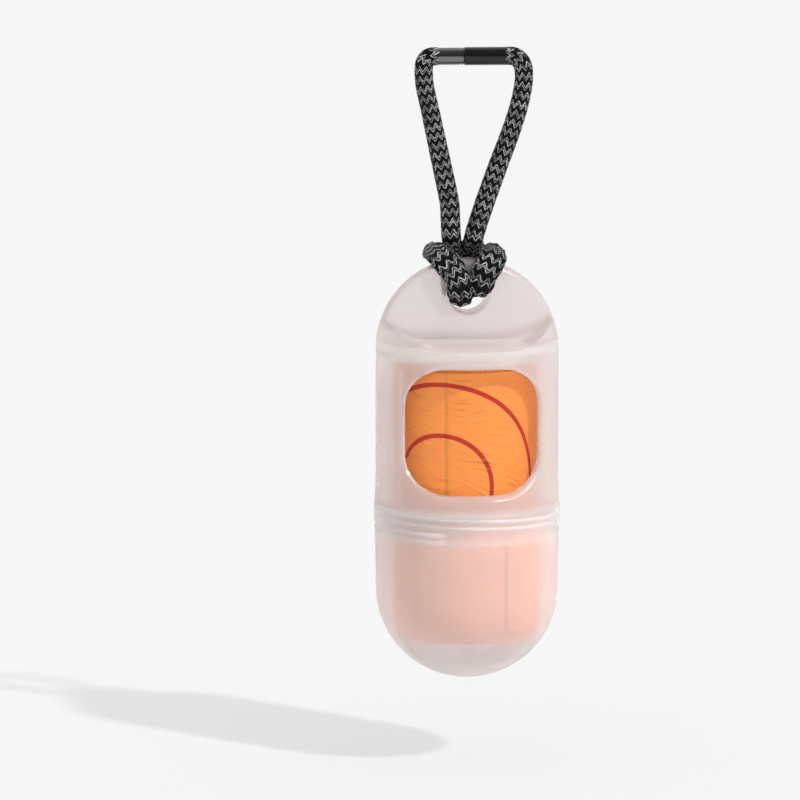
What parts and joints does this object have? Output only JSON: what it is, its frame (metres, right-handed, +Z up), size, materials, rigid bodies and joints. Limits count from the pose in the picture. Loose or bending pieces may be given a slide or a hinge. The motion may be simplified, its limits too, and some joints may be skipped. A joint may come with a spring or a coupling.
{
  "type": "pet waste bag dispenser",
  "caption": "Frosted capsule in two screw-together halves, with a front window and a flat hanging tab, holding a bag roll and hung by a braided cord loop with a small barrel clasp.",
  "frame": {"origin": "the point that the cord loop hangs from, on the underside of the clasp and above the middle of the capsule", "axes": "+Z up along the capsule, -Y out of the bag window, +X along the clasp from its stud half to its socket half"},
  "size_m": [0.0408, 0.0408, 0.1385],
  "materials": {
    "shell_plastic": "frosted translucent",
    "cap_plastic": "frosted translucent",
    "bag_film": "thin printed film",
    "card": "plain card",
    "cord": "black braid with grey flecks",
    "gunmetal": "gunmetal plating",
    "black_metal": "gloss black"
  },
  "bodies": {
    "loop": {"clasp_stud_half": "gunmetal", "cord_left_leg": "cord"},
    "clasp_half": {"clasp_socket_half": "black_metal", "cord_right_leg": "cord"},
    "shell": {"upper_shell": "shell_plastic", "cord_hitch": "cord"},
    "loose_bag": {"loose_bag": "bag_film"},
    "roll": {"bag_roll": "bag_film", "roll_core": "card"},
    "cap": {"lower_cap": "cap_plastic"}
  },
  "joints": [
    {"name": "clasp_pull", "type": "slide", "parent": "loop", "child": "clasp_half", "axis": [1, 0, 0], "range_m": [0, 0.0085]},
    {"name": "shell_swing", "type": "hinge", "parent": "loop", "child": "shell", "pos_m": [0, 0, -0.0335], "axis": [1, 0, 0], "range_deg": [-60, 60]},
    {"name": "cap_drop", "type": "slide", "parent": "shell", "child": "loose_bag", "axis": [0, 0, -1], "range_m": [0, 0.00875]},
    {"name": "roll_spin", "type": "hinge", "parent": "loose_bag", "child": "roll", "pos_m": [0, 0, -0.095], "axis": [0, 0, 1], "continuous": true},
    {"name": "cap_turn", "type": "hinge", "parent": "loose_bag", "child": "cap", "pos_m": [0, 0, -0.0957], "axis": [0, 0, -1], "range_deg": [0, 900]}
  ],
  "couplings": [
    {"joint": "cap_turn", "follows": "cap_drop", "rad_per_m": 1795.2}
  ]
}
